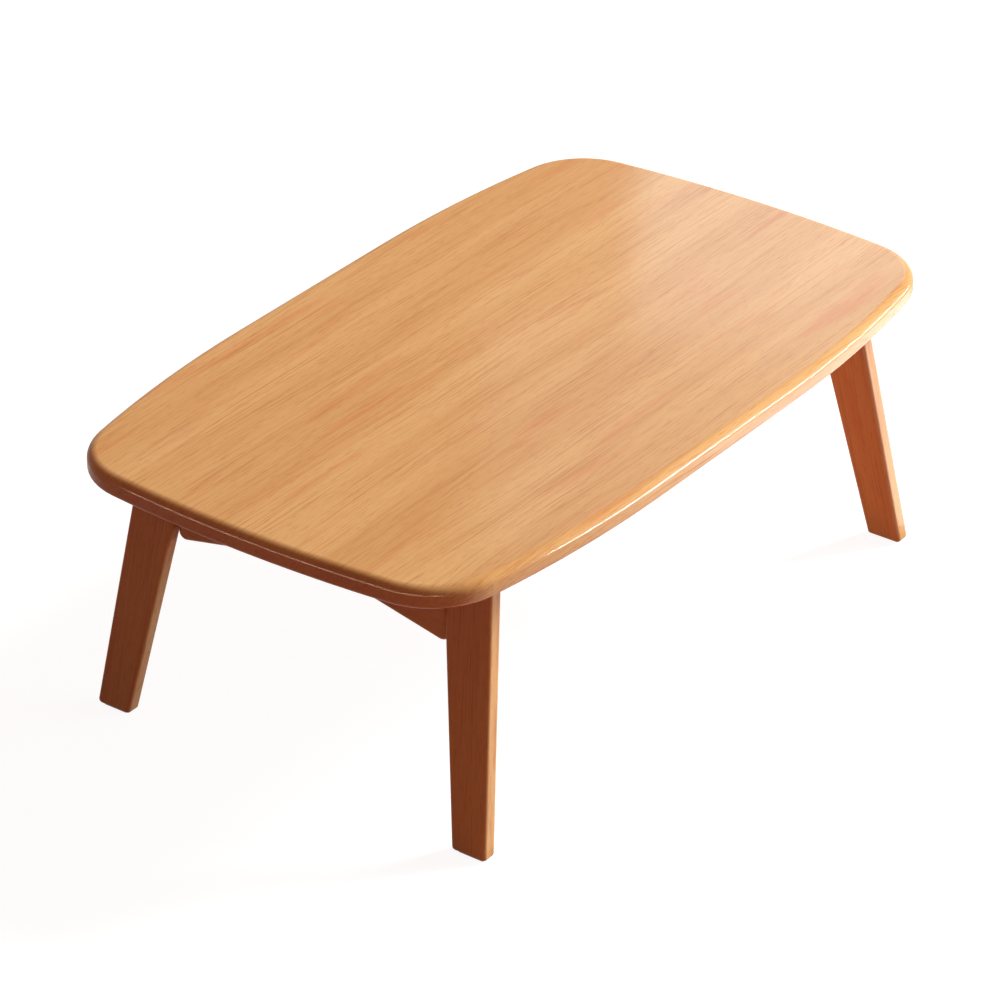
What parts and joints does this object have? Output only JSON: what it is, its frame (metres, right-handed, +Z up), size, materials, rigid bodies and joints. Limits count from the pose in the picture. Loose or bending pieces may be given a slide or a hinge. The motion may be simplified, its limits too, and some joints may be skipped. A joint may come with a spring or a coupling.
{
  "type": "folding floor table",
  "caption": "Low wooden table with a bowed, round-cornered top and splayed tapered board legs that fold in flat under it.",
  "frame": {"origin": "on the floor under the middle of the tabletop", "axes": "+X along the table's length, +Y across it, +Z up"},
  "size_m": [0.8, 0.48, 0.286],
  "materials": {
    "tabletop_wood": "satin lacquer, grain along the table",
    "leg_wood": "satin lacquer, grain along the leg",
    "rail_wood": "satin lacquer, grain along the rail",
    "block_wood": "sanded and oiled",
    "felt": "pressed wool felt",
    "nylon": "moulded",
    "fibre": "pressed fibre",
    "bolt_steel": "zinc plated",
    "spring_steel": "phosphated",
    "bracket_steel": "zinc plated, pressed",
    "screw_steel": "zinc plated",
    "insert_brass": "turned"
  },
  "bodies": {
    "table": {"tabletop": "tabletop_wood", "rail_left": "rail_wood", "bracket_left_1": "bracket_steel", "bracket_left_2": "bracket_steel", "bracket_left_3": "bracket_steel", "bracket_screws_left": "screw_steel", "stop_block_screws_left": "screw_steel", "pivot_bolt_front_left": "bolt_steel", "friction_washer_front_left": "fibre", "disc_spring_front_left": "spring_steel", "threaded_insert_front_left": "insert_brass", "stop_block_front_left": "block_wood", "pivot_bolt_back_left": "bolt_steel", "friction_washer_back_left": "fibre", "disc_spring_back_left": "spring_steel", "threaded_insert_back_left": "insert_brass", "stop_block_back_left": "block_wood", "rail_right": "rail_wood", "bracket_right_1": "bracket_steel", "bracket_right_2": "bracket_steel", "bracket_right_3": "bracket_steel", "bracket_screws_right": "screw_steel", "stop_block_screws_right": "screw_steel", "pivot_bolt_front_right": "bolt_steel", "friction_washer_front_right": "fibre", "disc_spring_front_right": "spring_steel", "threaded_insert_front_right": "insert_brass", "stop_block_front_right": "block_wood", "pivot_bolt_back_right": "bolt_steel", "friction_washer_back_right": "fibre", "disc_spring_back_right": "spring_steel", "threaded_insert_back_right": "insert_brass", "stop_block_back_right": "block_wood"},
    "leg_assembly_front_left": {"leg_front_left": "leg_wood", "cover_plug_front_left": "leg_wood", "pivot_bush_front_left": "nylon", "foot_pad_front_left": "felt"},
    "leg_assembly_back_left": {"leg_back_left": "leg_wood", "cover_plug_back_left": "leg_wood", "pivot_bush_back_left": "nylon", "foot_pad_back_left": "felt"},
    "leg_assembly_front_right": {"leg_front_right": "leg_wood", "cover_plug_front_right": "leg_wood", "pivot_bush_front_right": "nylon", "foot_pad_front_right": "felt"},
    "leg_assembly_back_right": {"leg_back_right": "leg_wood", "cover_plug_back_right": "leg_wood", "pivot_bush_back_right": "nylon", "foot_pad_back_right": "felt"}
  },
  "joints": [
    {"name": "leg_fold_front_left", "type": "hinge", "parent": "table", "child": "leg_assembly_front_left", "pos_m": [-0.29496, -0.17578, 0.245], "axis": [0, -1, 0], "range_deg": [0, 103]},
    {"name": "leg_fold_back_left", "type": "hinge", "parent": "table", "child": "leg_assembly_back_left", "pos_m": [-0.29496, 0.17578, 0.245], "axis": [0, -1, 0], "range_deg": [0, 103]},
    {"name": "leg_fold_front_right", "type": "hinge", "parent": "table", "child": "leg_assembly_front_right", "pos_m": [0.29496, -0.17578, 0.245], "axis": [0, 1, 0], "range_deg": [0, 103]},
    {"name": "leg_fold_back_right", "type": "hinge", "parent": "table", "child": "leg_assembly_back_right", "pos_m": [0.29496, 0.17578, 0.245], "axis": [0, 1, 0], "range_deg": [0, 103]}
  ]
}
